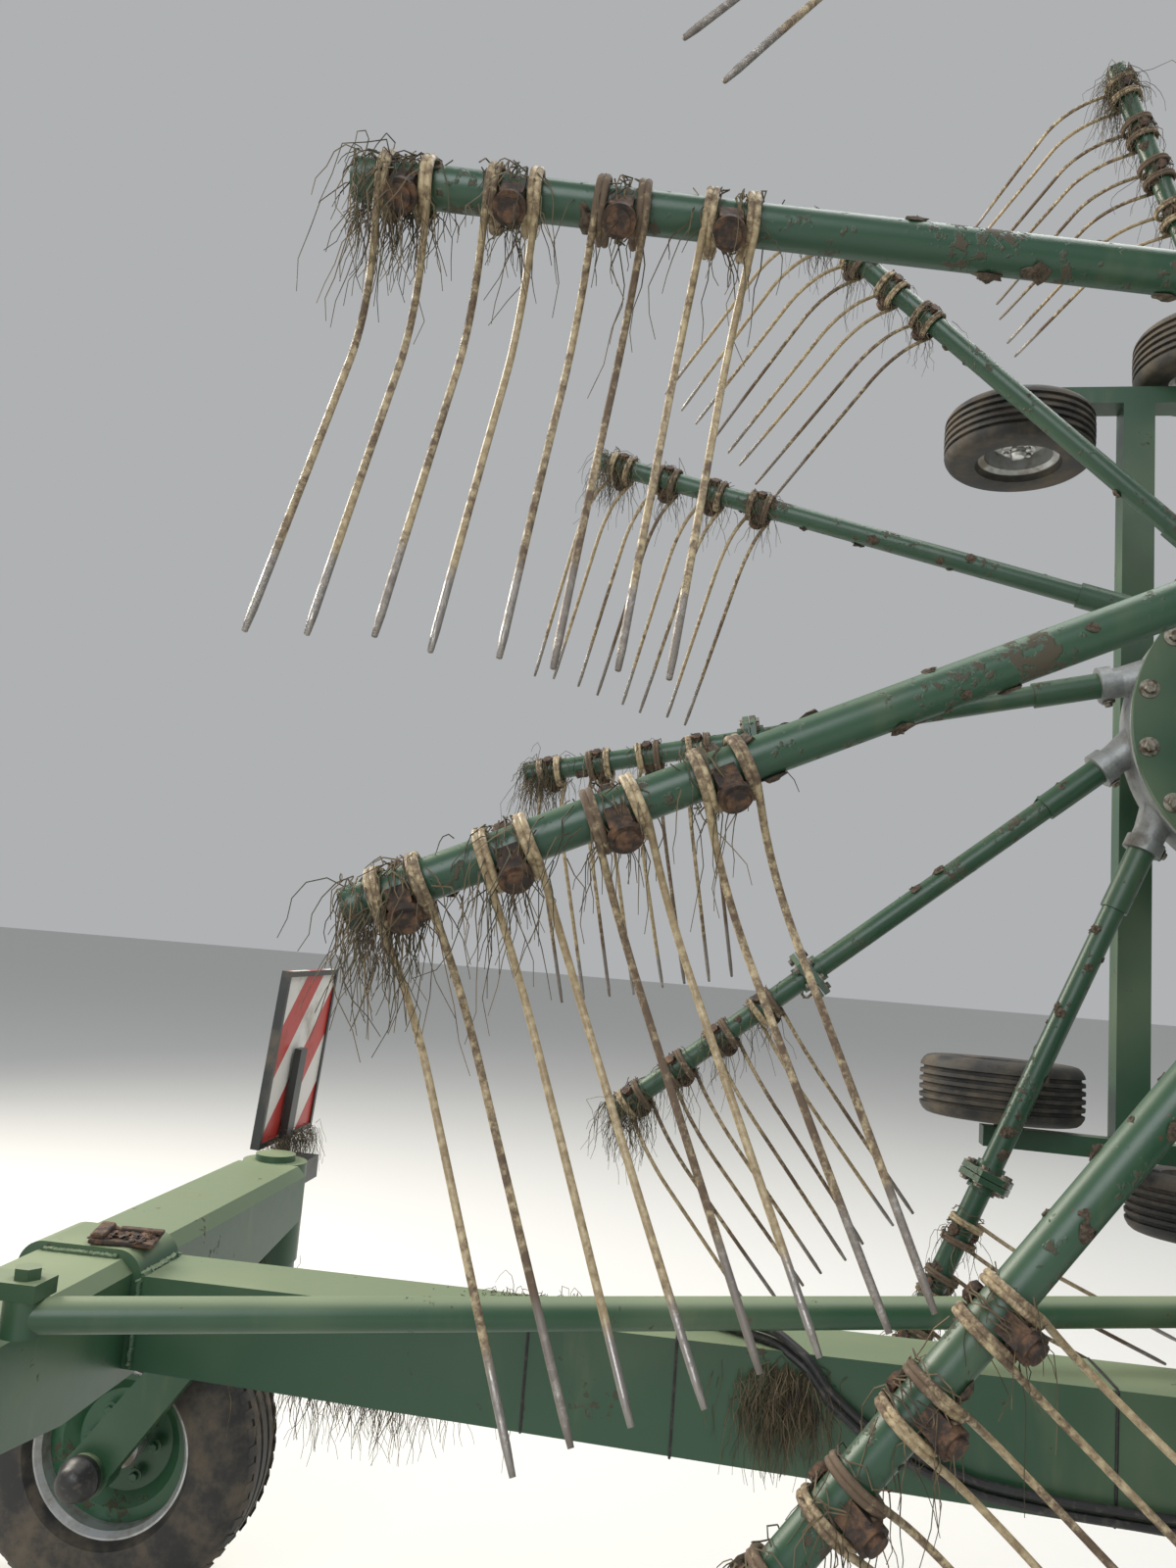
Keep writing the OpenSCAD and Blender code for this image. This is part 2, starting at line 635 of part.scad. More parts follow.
// Clamp between a double tine's coils: a neck with a stepped cap, and the bolt's head on the far side.
module clamps(side) {
  neck_r = arm_d / 2 + 19;
  color(rust) rotor_frame(side) each_arm(side) for (j = [0 : tine_pairs - 1])
    translate([pair_end - j * pair_pitch, 0, 0]) rotate([45, 0, 0]) {
      difference() {
        rotate([0, 90, 0]) linear_extrude(height = coil_gap - 32, center = true)
          polygon([[-21, 12], [21, 12], [17, neck_r + 1], [-17, neck_r + 1]]);
        bar_x(arm_d + 2 * seat_gap, coil_gap);
      }
      translate([0, neck_r + 5, 0]) bar_y(40, 10);
      translate([0, neck_r + 12, 0]) bar_y(28, 8);
      translate([0, -arm_d / 2 - seat_gap - 6, 0]) rotate([90, 0, 0]) cylinder(d = 26, h = 12, $fn = 6, center = true);
    }
}

// A double tine's leg: two turns round the arm's tube, a straight run, the knee's bend and the straight end.
coil_r = arm_d / 2 + coil_air + wire_d / 2;
coil_sag = coil_air - 1.3;
turn = wire_d * 0.97;
shaft_d = wire_d - 0.3;
leave = 38.3;
skew = 4.5;
leg_start = [0, coil_r * cos(leave), coil_sag + coil_r * sin(leave)];
run_dir = [sin(skew), -sin(leave) * cos(skew), cos(leave) * cos(skew)];
knee = leg_start + knee_run * run_dir;
tip = [tine_flare, tine_drop, tine_trail];
end_dir = (tip - knee) / norm(tip - knee);
bend = acos(run_dir * end_dir);
bend_r = knee_cut / tan(bend / 2);
bend_axis = cross(run_dir, end_dir) / norm(cross(run_dir, end_dir));
inwards = cross(bend_axis, run_dir);
bend_start = knee - knee_cut * run_dir;
bend_end = knee + knee_cut * end_dir;
bend_mid = bend_start + bend_r * inwards;
module tine_leg(k) {
  translate([0, 0, coil_sag]) rotate(a = skew, v = [0, cos(leave), sin(leave)]) rotate([0, 90, 0])
    rotate([0, 0, leave + 110]) rotate_extrude(angle = 340) for (j = [0, 1])
      translate([coil_r, -k * j * turn]) circle(d = wire_d, $fn = 24);
  rod_between(leg_start - 2 * run_dir, bend_start + 2 * run_dir, shaft_d);
  multmatrix([
      [-inwards[0], run_dir[0], bend_axis[0], bend_mid[0]],
      [-inwards[1], run_dir[1], bend_axis[1], bend_mid[1]],
      [-inwards[2], run_dir[2], bend_axis[2], bend_mid[2]],
      [0, 0, 0, 1]
    ]) rotate_extrude(angle = bend) translate([bend_r, 0]) circle(d = wire_d, $fn = 24);
  rod_between(bend_end - 2 * end_dir, tip, shaft_d);
}

module tines(side) {
  color(wire) rotor_frame(side) each_arm(side)
    for (j = [0 : tine_pairs - 1], k = [-1, 1])
      translate([pair_end - j * pair_pitch + k * coil_gap / 2, 0, 0]) tine_leg(k);
}

module gauge_place(side, outer, axle) {
  rotor_frame(side)
    translate([-axle[0], gear_drop, outer * (tandem_half + axle[1] * wheel_side)]) children();
}
module gauge_tyre(side, outer, axle) { color(rubber) gauge_place(side, outer, axle) tyre(gauge_d, gauge_w, gauge_rim_d, 22); }
module gauge_rim(side, outer, axle) { color(steel) gauge_place(side, outer, axle) rim(gauge_rim_d, gauge_w, gauge_axle_d); }

main_beam();
crossbeam();
boom_carrier();
ram_tower();
gearbox();
warning_panels();
headstock();
relay_lever();
front_steering_rod();
rear_steering_rod();
tie_rod();
knuckle(1);  // left_knuckle
rear_tyre(1);  // left_rear_tyre
rear_rim(1);  // left_rear_rim
knuckle(-1);  // right_knuckle
rear_tyre(-1);  // right_rear_tyre
rear_rim(-1);  // right_rear_rim
jack_tube();
jack_leg();
inner_boom(1);  // left_inner_boom
outer_boom(1);  // left_outer_boom
ram_barrel(1);  // left_ram_barrel
ram_rod(1);  // left_ram_rod
inner_boom(-1);  // right_inner_boom
outer_boom(-1);  // right_outer_boom
ram_barrel(-1);  // right_ram_barrel
ram_rod(-1);  // right_ram_rod
rotor_gearbox(1);  // left_rotor_gearbox
running_gear(1);  // left_running_gear
drum(1);  // left_drum
cover(1);  // left_cover
arms(1);  // left_arms
clamps(1);  // left_clamps
tines(1);  // left_tines
rotor_gearbox(-1);  // right_rotor_gearbox
running_gear(-1);  // right_running_gear
drum(-1);  // right_drum
cover(-1);  // right_cover
arms(-1);  // right_arms
clamps(-1);  // right_clamps
tines(-1);  // right_tines
gauge_tyre(1, 1, front_axle);  // left_outer_front_tyre
gauge_tyre(1, 1, rear_axle);  // left_outer_rear_tyre
gauge_tyre(1, -1, front_axle);  // left_inner_front_tyre
gauge_tyre(1, -1, rear_axle);  // left_inner_rear_tyre
gauge_rim(1, 1, front_axle);  // left_outer_front_rim
gauge_rim(1, 1, rear_axle);  // left_outer_rear_rim
gauge_rim(1, -1, front_axle);  // left_inner_front_rim
gauge_rim(1, -1, rear_axle);  // left_inner_rear_rim
gauge_tyre(-1, 1, front_axle);  // right_outer_front_tyre
gauge_tyre(-1, 1, rear_axle);  // right_outer_rear_tyre
gauge_tyre(-1, -1, front_axle);  // right_inner_front_tyre
gauge_tyre(-1, -1, rear_axle);  // right_inner_rear_tyre
gauge_rim(-1, 1, front_axle);  // right_outer_front_rim
gauge_rim(-1, 1, rear_axle);  // right_outer_rear_rim
gauge_rim(-1, -1, front_axle);  // right_inner_front_rim
gauge_rim(-1, -1, rear_axle);  // right_inner_rear_rim
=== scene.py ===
import json
import math

import bpy
import numpy as np
from mathutils import Matrix, Vector


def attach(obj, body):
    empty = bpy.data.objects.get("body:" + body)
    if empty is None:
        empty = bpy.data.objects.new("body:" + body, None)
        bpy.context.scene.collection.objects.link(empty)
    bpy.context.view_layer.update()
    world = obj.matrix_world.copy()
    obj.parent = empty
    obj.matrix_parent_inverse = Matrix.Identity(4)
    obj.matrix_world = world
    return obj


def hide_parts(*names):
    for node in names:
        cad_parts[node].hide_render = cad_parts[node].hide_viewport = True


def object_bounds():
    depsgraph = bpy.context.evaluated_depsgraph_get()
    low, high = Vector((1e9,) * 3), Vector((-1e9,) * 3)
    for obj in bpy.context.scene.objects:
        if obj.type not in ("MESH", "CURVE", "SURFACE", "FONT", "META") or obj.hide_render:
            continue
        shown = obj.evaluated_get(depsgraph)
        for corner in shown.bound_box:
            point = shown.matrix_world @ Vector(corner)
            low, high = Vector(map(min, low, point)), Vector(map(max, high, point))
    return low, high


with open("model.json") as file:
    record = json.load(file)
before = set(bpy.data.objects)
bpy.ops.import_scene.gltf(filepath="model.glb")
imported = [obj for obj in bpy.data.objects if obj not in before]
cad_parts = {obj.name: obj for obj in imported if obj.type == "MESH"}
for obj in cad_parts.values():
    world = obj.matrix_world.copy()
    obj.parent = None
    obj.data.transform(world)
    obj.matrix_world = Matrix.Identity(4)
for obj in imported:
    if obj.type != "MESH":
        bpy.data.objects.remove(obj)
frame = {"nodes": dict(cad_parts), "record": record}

cad_low, cad_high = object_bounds()
cad_low, cad_high = list(cad_low), list(cad_high)
nodes = frame["nodes"]

# The view is the photograph's: a person standing off the rake's right side between the rear
# crossbeam and the right rotor, at eye height, with the camera tipped a few degrees.
focal_pixels, picture_height, film_height = 1201, 1600, 36
eye = (-1.2, -2.15, 1.76)
view = bpy.data.cameras.new("view")
view.sensor_fit = "VERTICAL"
view.sensor_height = film_height
view.lens = film_height * focal_pixels / picture_height
view.clip_start = 0.02
view.clip_end = 200
viewer = bpy.data.objects.new("view", view)
bpy.context.scene.collection.objects.link(viewer)
forward = Vector((-0.10880, 0.98510, 0.13300)).normalized()
up = Vector((-0.0660, -0.1410, 0.9880))
right = forward.cross(up).normalized()
up = right.cross(forward)
facing = Matrix((right, up, -forward)).transposed().to_4x4()
viewer.matrix_world = Matrix.Translation(eye) @ facing
bpy.context.scene.camera = viewer

# The studio is a wide pale floor and three broad lamps: a warm low one from the left, as the
# evening sun stood, a cooler one from the camera's side and a large one overhead.
floor_half = 60
floor_mesh = bpy.data.meshes.new("floor")
corners = [(x * floor_half, y * floor_half, 0) for x, y in ((-1, -1), (1, -1), (1, 1), (-1, 1))]
floor_mesh.from_pydata(corners, [], [(0, 1, 2, 3)])
floor = bpy.data.objects.new("floor", floor_mesh)
bpy.context.scene.collection.objects.link(floor)
floor_look = bpy.data.materials.new("studio floor")
floor_look.use_nodes = True
floor_shader = floor_look.node_tree.nodes["Principled BSDF"].inputs
floor_shader["Base Color"].default_value = (0.62, 0.62, 0.60, 1)
floor_shader["Roughness"].default_value = 0.9
floor_mesh.materials.append(floor_look)


def lamp(name, place, aim, power, size, colour):
    data = bpy.data.lights.new(name, "AREA")
    data.energy = power
    data.size = size
    data.color = colour
    holder = bpy.data.objects.new(name, data)
    bpy.context.scene.collection.objects.link(holder)
    holder.location = place
    holder.rotation_euler = (Vector(aim) - Vector(place)).to_track_quat("-Z", "Y").to_euler()


lamp("evening side", (-8, 3, 6), (0, 0, 1.5), 900, 4, (1.0, 0.93, 0.82))
lamp("near side", (-3, -9, 6), (0, 0, 1.5), 650, 6, (0.93, 0.96, 1.0))
lamp("overhead", (2, 2, 11), (0, 0, 1), 900, 8, (1, 1, 1))
world = bpy.data.worlds.new("studio")
bpy.context.scene.world = world
world.use_nodes = True
world.node_tree.nodes["Background"].inputs["Color"].default_value = (0.78, 0.80, 0.82, 1)
world.node_tree.nodes["Background"].inputs["Strength"].default_value = 0.55
bpy.context.scene.view_settings.view_transform = "Standard"

# The frame is welded box section under a semi-gloss green paint, sprayed on the finished weldment.
# Its faces that look up are painted much paler, partly as faded chalky paint and partly as painted light
# falling from above; there are random chalky patches too, it is dusty, and the paint is worn through to rust
# in small chips.


class Socket:
    """A shader value that adds Math nodes when it stands in a sum."""

    def __init__(self, look, out):
        self.look = look
        self.out = out

    def _math(self, operation, first, second):
        return self.look.node("ShaderNodeMath", {"operation": operation}, {0: first, 1: second})

    def __add__(self, other):
        return self._math("ADD", self, other)

    def __radd__(self, other):
        return self._math("ADD", other, self)

    def __sub__(self, other):
        return self._math("SUBTRACT", self, other)

    def __rsub__(self, other):
        return self._math("SUBTRACT", other, self)

    def __mul__(self, other):
        return self._math("MULTIPLY", self, other)

    def __rmul__(self, other):
        return self._math("MULTIPLY", other, self)

    def most(self, other):
        return self._math("MAXIMUM", self, other)

    def between(self, low, high):
        """0 below low, 1 above high, smooth in between."""
        ends = {"Value": self, "From Min": low, "From Max": high}
        return self.look.node("ShaderNodeMapRange", {"interpolation_type": "SMOOTHSTEP"}, ends)


class Look:
    """A material: nodes come from one method, and the shader's own sockets are set by name."""

    def __init__(self, name, **fixed):
        self.material = bpy.data.materials.new(name)
        self.material.use_nodes = True
        self.tree = self.material.node_tree
        self.shader = self.tree.nodes["Principled BSDF"]
        for socket, value in fixed.items():
            self.shader.inputs[socket.replace("_", " ")].default_value = value

    def node(self, kind, settings=None, sockets=None, out=0):
        made = self.tree.nodes.new(kind)
        for key, value in (settings or {}).items():
            setattr(made, key, value)
        for key, value in (sockets or {}).items():
            if isinstance(value, Socket):
                self.tree.links.new(value.out, made.inputs[key])
            elif isinstance(value, tuple) and len(value) == 3 and made.inputs[key].type == "RGBA":
                made.inputs[key].default_value = (*value, 1)
            else:
                made.inputs[key].default_value = value
        return Socket(self, made.outputs[out])

    def place(self):
        return self.node("ShaderNodeTexCoord", out="Object")

    def axis(self, vector, index):
        return self.node("ShaderNodeSeparateXYZ", sockets={0: vector}, out=index)

    def noise(self, scale, detail, rough=0.55, stretch=(1, 1, 1), shift=(0, 0, 0)):
        scaled = {0: self.place(), 1: stretch, 2: shift}
        where = self.node("ShaderNodeVectorMath", {"operation": "MULTIPLY_ADD"}, scaled)
        grain = {"Vector": where, "Scale": scale, "Detail": detail, "Roughness": rough}
        return self.node("ShaderNodeTexNoise", {}, grain)

    def upward(self):
        return self.axis(self.node("ShaderNodeNewGeometry", out="Normal"), 2)

    def blend(self, first, second, share):
        settings = {"data_type": "RGBA", "blend_type": "MIX"}
        return self.node("ShaderNodeMix", settings, {0: share, 6: first, 7: second}, out=2)

    def feed(self, socket, value):
        self.tree.links.new(value.out, self.shader.inputs[socket])

    def bump(self, height, depth):
        relief = self.node("ShaderNodeBump", {}, {"Height": height, "Distance": depth, "Strength": 1.0})
        self.feed("Normal", relief)


def dress(material, *names):
    for name in names:
        mesh = nodes[name].data
        mesh.materials.clear()
        mesh.materials.append(material)


def green_paint(name, deep, pale, dust, mud):
    look = Look(name, IOR=1.5)
    broad = look.noise(1.7, 3)
    fine = look.noise(38, 5, 0.6)
    spots = look.noise(55, 3, 0.5, shift=(3.1, 0.4, 1.7))
    streaks = look.noise(9, 4, 0.6, stretch=(1, 1, 0.25), shift=(0.3, 2.2, 0))
    # Faces that look up are blended towards the pale colour: painted light from above, mixed with chalking;
    # the dust argument also scales this painted light.
    painted_top_light = look.upward().between(0.35, 0.95)
    chalk_and_top_light = (painted_top_light * 0.75 + broad.between(0.45, 0.75) * 0.35) * dust
    paint = look.blend(deep, pale, chalk_and_top_light)
    paint = look.blend(paint, (0.16, 0.17, 0.09), streaks.between(0.55, 0.8) * 0.35 * dust)
    chips = spots.between(0.735, 0.75)
    cake = look.noise(9.0, 5, 0.7, shift=(1.2, 5.0, 0.6)) * 0.65 + look.noise(70, 3, 0.6) * 0.35
    dirt = cake.between(0.63 - 0.09 * mud, 0.67 - 0.08 * mud)
    paint = look.blend(paint, (0.062, 0.044, 0.029), dirt * 0.85)
    paint = look.blend(paint, (0.085, 0.042, 0.024), chips)
    look.feed("Base Color", paint)
    look.feed("Roughness", 0.32 + chalk_and_top_light * 0.25 + dirt * 0.4 + fine * 0.08)
    look.bump(fine * 0.15 + dirt * 0.8 + look.noise(420, 2) * 0.06, 0.0012)
    return look.material


frame_green = green_paint("frame green paint", (0.019, 0.062, 0.029), (0.18, 0.22, 0.125), 1.0, 0.2)
arm_green = green_paint("arm green paint", (0.016, 0.054, 0.027), (0.080, 0.135, 0.075), 0.7, 0.9)
for row in frame["record"]["subparts"]:
    if row["material_slot"] == "green_paint":
        dress(frame_green, row["node"])
dress(arm_green, "left_arms", "right_arms")

# Warning panels: aluminium sheet with red and white diagonal film, in a dark painted steel frame
# on a dark upright that is bolted to the crossbeam's end and leans forward by 4 degrees.
panel_x, panel_foot, panel_lean = 2.345, 1.15, math.radians(4)
panel_y, panel_half, sheet_half, stripe_width = 1.16, 0.1875, 0.0072, 0.14
panel_look = Look("red and white warning film", Roughness=0.4)
where = panel_look.place()
fore, across, height = (panel_look.axis(where, index) for index in range(3))
off_sheet = (fore + panel_x) * math.cos(panel_lean) - (height - panel_foot) * math.sin(panel_lean)
off_middle = across.most(0 - across) - panel_y
off_edge = off_middle.most(0 - off_middle) - panel_half
on_film = 1 - off_sheet.most(0 - off_sheet).most(off_edge).between(sheet_half, sheet_half + 0.0008)
stripe = panel_look.node("ShaderNodeMath", {"operation": "PINGPONG"}, {0: across - height, 1: stripe_width})
red = stripe.between(stripe_width / 2 - 0.0005, stripe_width / 2 + 0.0005)
film = panel_look.blend((0.62, 0.60, 0.56), (0.42, 0.035, 0.025), red)
film = panel_look.blend((0.030, 0.032, 0.030), film, on_film)
grime = panel_look.noise(7, 5, 0.65).between(0.5, 0.75)
film = panel_look.blend(film, (0.17, 0.13, 0.09), grime * 0.6)
panel_look.feed("Base Color", film)
panel_look.feed("Roughness", 0.35 + grime * 0.4)
dress(panel_look.material, "warning_panels")

# Rotor housings with the arms' sockets and collars, and the central gearbox: cast metal left grey,
# dull and rough from the mould, with oily dirt in its low places.
cast_look = Look("grey cast metal", Metallic=0.75)
grain = cast_look.noise(160, 4, 0.6)
dirt = cast_look.noise(8, 5, 0.6).between(0.5, 0.72)
metal = cast_look.blend((0.36, 0.37, 0.37), (0.22, 0.23, 0.22), grain)
cast_look.feed("Base Color", cast_look.blend(metal, (0.12, 0.09, 0.06), dirt * 0.7))
cast_look.feed("Roughness", 0.5 + dirt * 0.3)
cast_look.bump(grain, 0.0008)
dress(cast_look.material, "left_drum", "right_drum", "gearbox")

# Clamps between the coils of each double tine: plain steel pressings, bolted round the arm's
# tube, brown with rust and baked-on crop dust.
rust_look = Look("brown rusty steel", Metallic=0.3)
blotch = rust_look.noise(60, 5, 0.7)
brown = rust_look.blend((0.030, 0.022, 0.018), (0.16, 0.085, 0.045), blotch.between(0.4, 0.7))
rust_look.feed("Base Color", brown)
rust_look.feed("Roughness", 0.6 + blotch * 0.25)
rust_look.bump(blotch, 0.0015)
dress(rust_look.material, "left_clamps", "right_clamps")

# Bright steel: the lift cylinders' chromed rods and the plated leg that slides in the jack's tube,
# thinly oiled and dusty.
steel_look = Look("bright steel", Metallic=1.0)
wipe = steel_look.noise(30, 4, 0.6, stretch=(1, 1, 0.15))
bright = steel_look.blend((0.55, 0.55, 0.54), (0.33, 0.31, 0.28), wipe.between(0.45, 0.7))
steel_look.feed("Base Color", bright)
steel_look.feed("Roughness", 0.18 + wipe * 0.3)
dress(steel_look.material, "left_ram_rod", "right_ram_rod", "jack_leg")

# Rims: pressed and welded steel under silver paint, dusty in the well. The rear wheels' green
# dishes are pieces of their own, further on.
rim_look = Look("silver rim paint", Metallic=0.6)
dust = rim_look.noise(14, 5, 0.6).between(0.42, 0.7)
rim_look.feed("Base Color", rim_look.blend((0.50, 0.51, 0.51), (0.20, 0.16, 0.11), dust * 0.8))
rim_look.feed("Roughness", 0.38 + dust * 0.4)
dress(rim_look.material, *[name for name in nodes if name.endswith("_rim")])

# Tyres: moulded black rubber, blown up on the rims, grey with dust on the walls and brown with
# earth in the tread.
rubber_look = Look("dusty rubber", IOR=1.45)
dust = rubber_look.noise(11, 5, 0.65).between(0.38, 0.72)
rubber = rubber_look.blend((0.018, 0.018, 0.018), (0.13, 0.105, 0.075), dust * 0.75)
rubber_look.feed("Base Color", rubber)
rubber_look.feed("Roughness", 0.6 + dust * 0.3)
rubber_look.bump(rubber_look.noise(240, 3), 0.0006)
dress(rubber_look.material, *[name for name in nodes if name.endswith("_tyre")])

# The spring tines are cream-painted wire of 9.5 mm: each double tine is one wire, clamped in its
# middle, wound twice round the arm on either side, and worn bare towards its tips. Millimetres.
hub = np.array((128.0, 706.0, 2369.0))
toe, lean = math.radians(5), math.radians(2)
arm_count, arm_offset, cam_roll = 13, 190.0, 46.0
phases = {1: -11.8, -1: -24.75}
wire_radius, coil_turns, clamp_half = 4.75, 2, 30.0
coil_r, coil_sag, leave, skew = 36.05, 4.5, math.radians(38.3), math.radians(4.5)
coil_width, coil_steps, tip_wear = 1.55 * 9.215, 44, 0.72
tip = np.array((35.0, 128.0, 590.0))
knee_run, knee_cut, knee_steps = 138.0, 90.0, 10
tine_places = (1765.0, 1635.0, 1505.0, 1375.0)


def about(axis, angle):
    return np.array(Matrix.Rotation(angle, 3, axis))


def ease(x):
    x = min(max(x, 0.0), 1.0)
    return x * x * (3 - 2 * x)


def to_world(side, points):
    turned = points @ (about("Z", -toe) @ about("X", -lean)).T + hub
    return turned * (0.001, 0.001 * side, 0.001)


def on_arm(side, index, points):
    angle = phases[side] + index * 360 / arm_count
    seen = (angle + 540) % 360 - 180
    roll = -cam_roll * max(ease((seen - 30) / 45), ease((-50 - seen) / 60))
    points = np.asarray(points, float) @ about("X", math.radians(roll)).T + (0, 0, -arm_offset)
    return to_world(side, points @ about("Y", math.radians(180 + angle)).T)


def leg_path(k):
    """One leg of a double tine from the clamp's middle to the tip, along the arm from the coil."""
    run = np.array((math.sin(skew), -math.sin(leave) * math.cos(skew), math.cos(leave) * math.cos(skew)))
    start = np.array((0, coil_r * math.cos(leave), coil_sag + coil_r * math.sin(leave)))
    knee = start + knee_run * run
    end = (tip - knee) / np.linalg.norm(tip - knee)
    bend = math.acos(run @ end)
    radius = knee_cut / math.tan(bend / 2)
    normal = np.cross(run, end) / np.linalg.norm(np.cross(run, end))
    middle = knee - knee_cut * run + radius * np.cross(normal, run)
    coil = [(-clamp_half, leave + 0.35), (-22.0, leave + 0.30)]
    for j in range(coil_steps + 1):
        left = 1 - j / coil_steps
        coil.append((-coil_width * left, leave - coil_turns * math.tau * left))
    points = [(x * k, coil_r * math.cos(a), coil_sag + coil_r * math.sin(a)) for x, a in coil]
    coil_end = len(points) - 1
    for share in (0.35, 0.7, 1.0):
        points.append(tuple(start + run * (knee_run - knee_cut) * share))
    arm_to_start = (knee - knee_cut * run) - middle
    for j in range(1, knee_steps + 1):
        a = bend * j / knee_steps
        points.append(tuple(middle + arm_to_start * math.cos(a) + run * radius * math.sin(a)))
    corner = knee + knee_cut * end
    for share in (0.12, 0.3, 0.5, 0.7, 0.85, 0.93, 1.0):
        points.append(tuple(corner + (tip - corner) * share))
    points = np.array(points)
    steps = np.linalg.norm(np.diff(points, axis=0), axis=1)
    far = np.concatenate(([0], np.cumsum(steps)))
    return points, np.maximum(far - far[coil_end], 0) / (far[-1] - far[coil_end])


class Bundle:
    """Tubes swept along paths, gathered into one mesh with a value kept at each point."""

    def __init__(self):
        self.points, self.faces, self.values, self.seeds = [], [], [], []
        self.count = 0

    def sweep(self, path, radius, sides, along, seed=0.0):
        path = np.asarray(path, float)
        ahead = np.gradient(path, axis=0)
        ahead /= np.linalg.norm(ahead, axis=1)[:, None] + 1e-12
        across = np.cross(ahead[0], (0.31, 0.52, 0.79))
        across /= np.linalg.norm(across)
        radius = np.broadcast_to(np.asarray(radius, float), (len(path),))
        ring = np.arange(sides) * 2 * math.pi / sides
        rows = []
        for p, d, r in zip(path, ahead, radius):
            across = across - d * (across @ d)
            across /= np.linalg.norm(across)
            other = np.cross(d, across)
            rows.append(p + r * (np.outer(np.cos(ring), across) + np.outer(np.sin(ring), other)))
        rows = np.concatenate(rows)
        n = len(path)
        grid = self.count + np.arange(n * sides).reshape(n, sides)
        nxt = np.roll(grid, -1, axis=1)
        quads = np.stack([grid[:-1], nxt[:-1], nxt[1:], grid[1:]], axis=-1).reshape(-1, 4)
        self.faces += quads.tolist()
        self.faces.append(grid[0][::-1].tolist())
        self.faces.append(grid[-1].tolist())
        self.points.append(rows)
        self.values.append(np.repeat(np.broadcast_to(along, (n,)), sides))
        self.seeds.append(np.full(n * sides, seed))
        self.count += n * sides

    def piece(self, name, material, body, slot, replaced=()):
        mesh = bpy.data.meshes.new(name)
        mesh.from_pydata(np.concatenate(self.points).tolist(), [], self.faces)
        for key, rows in (("along", self.values), ("seed", self.seeds)):
            kept = mesh.attributes.new(key, "FLOAT", "POINT")
            kept.data.foreach_set("value", np.concatenate(rows).astype(np.float32))
        mesh.polygons.foreach_set("use_smooth", [True] * len(mesh.polygons))
        mesh.materials.append(material)
        made = bpy.data.objects.new(name, mesh)
        bpy.context.scene.collection.objects.link(made)
        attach(made, body)
        if replaced:
            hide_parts(*replaced)
        return made


tine_look = Look("cream tine paint worn to steel")
along = tine_look.node("ShaderNodeAttribute", {"attribute_name": "along"}, out="Fac")
seed = tine_look.node("ShaderNodeAttribute", {"attribute_name": "seed"}, out="Fac")
speck = tine_look.noise(85, 5, 0.7)
patch = tine_look.noise(7, 4, 0.6)
bare = (along + (patch - 0.5) * 0.12 + (seed - 0.5) * 0.08).between(0.78, 0.84)
wound = 1 - along.between(0.0, 0.03)
soil = (patch * 0.55 + speck * 0.45 + along * 0.10 + wound * 0.09 + (seed - 0.5) * 0.20).between(0.50, 0.66)
cream = tine_look.blend((0.42, 0.34, 0.20), (0.24, 0.175, 0.095), speck.between(0.3, 0.6))
colour = tine_look.blend(cream, (0.075, 0.047, 0.030), soil * 0.9)
colour = tine_look.blend(colour, (0.27, 0.25, 0.23), bare * (1 - soil * 0.35))
tine_look.feed("Base Color", colour)
tine_look.feed("Roughness", 0.45 + soil * 0.35 - bare * 0.12)
tine_look.feed("Metallic", bare * 0.7)
tine_look.bump(soil * 0.7 + speck * 0.3, 0.0012)

chance = np.random.default_rng(7)
for side, rotor in ((1, "left"), (-1, "right")):
    wires = Bundle()
    for arm in range(arm_count):
        for place in tine_places:
            for k in (-1, 1):
                path, share = leg_path(k)
                path = path + (place + k * clamp_half, 0, 0)
                path = path + share[:, None] ** 2 * chance.normal(0, 5.0, 3)
                radius = wire_radius * 0.001 * np.where(share > 0.97, tip_wear, 1.0)
                wires.sweep(on_arm(side, arm, path), radius, 9, share, chance.random())
    replaced = [f"{rotor}_tines"]
    wires.piece(f"{rotor}_spring_tines", tine_look.material, f"{rotor}_rotor", "tine_steel", replaced)

# Small tyres of the rotors' running gear: ribbed implement tyres of 400 mm, with five grooves
# round the tread and a rounded shoulder, blown up on two-piece pressed rims.
crease = 0.6


def spokes(axis, angles):
    """Unit directions square to an axis, one at each angle round it."""
    side = np.cross(axis, (0.37, 0.61, 0.7))
    side /= np.linalg.norm(side)
    return np.outer(np.cos(angles), side) + np.outer(np.sin(angles), np.cross(axis, side))


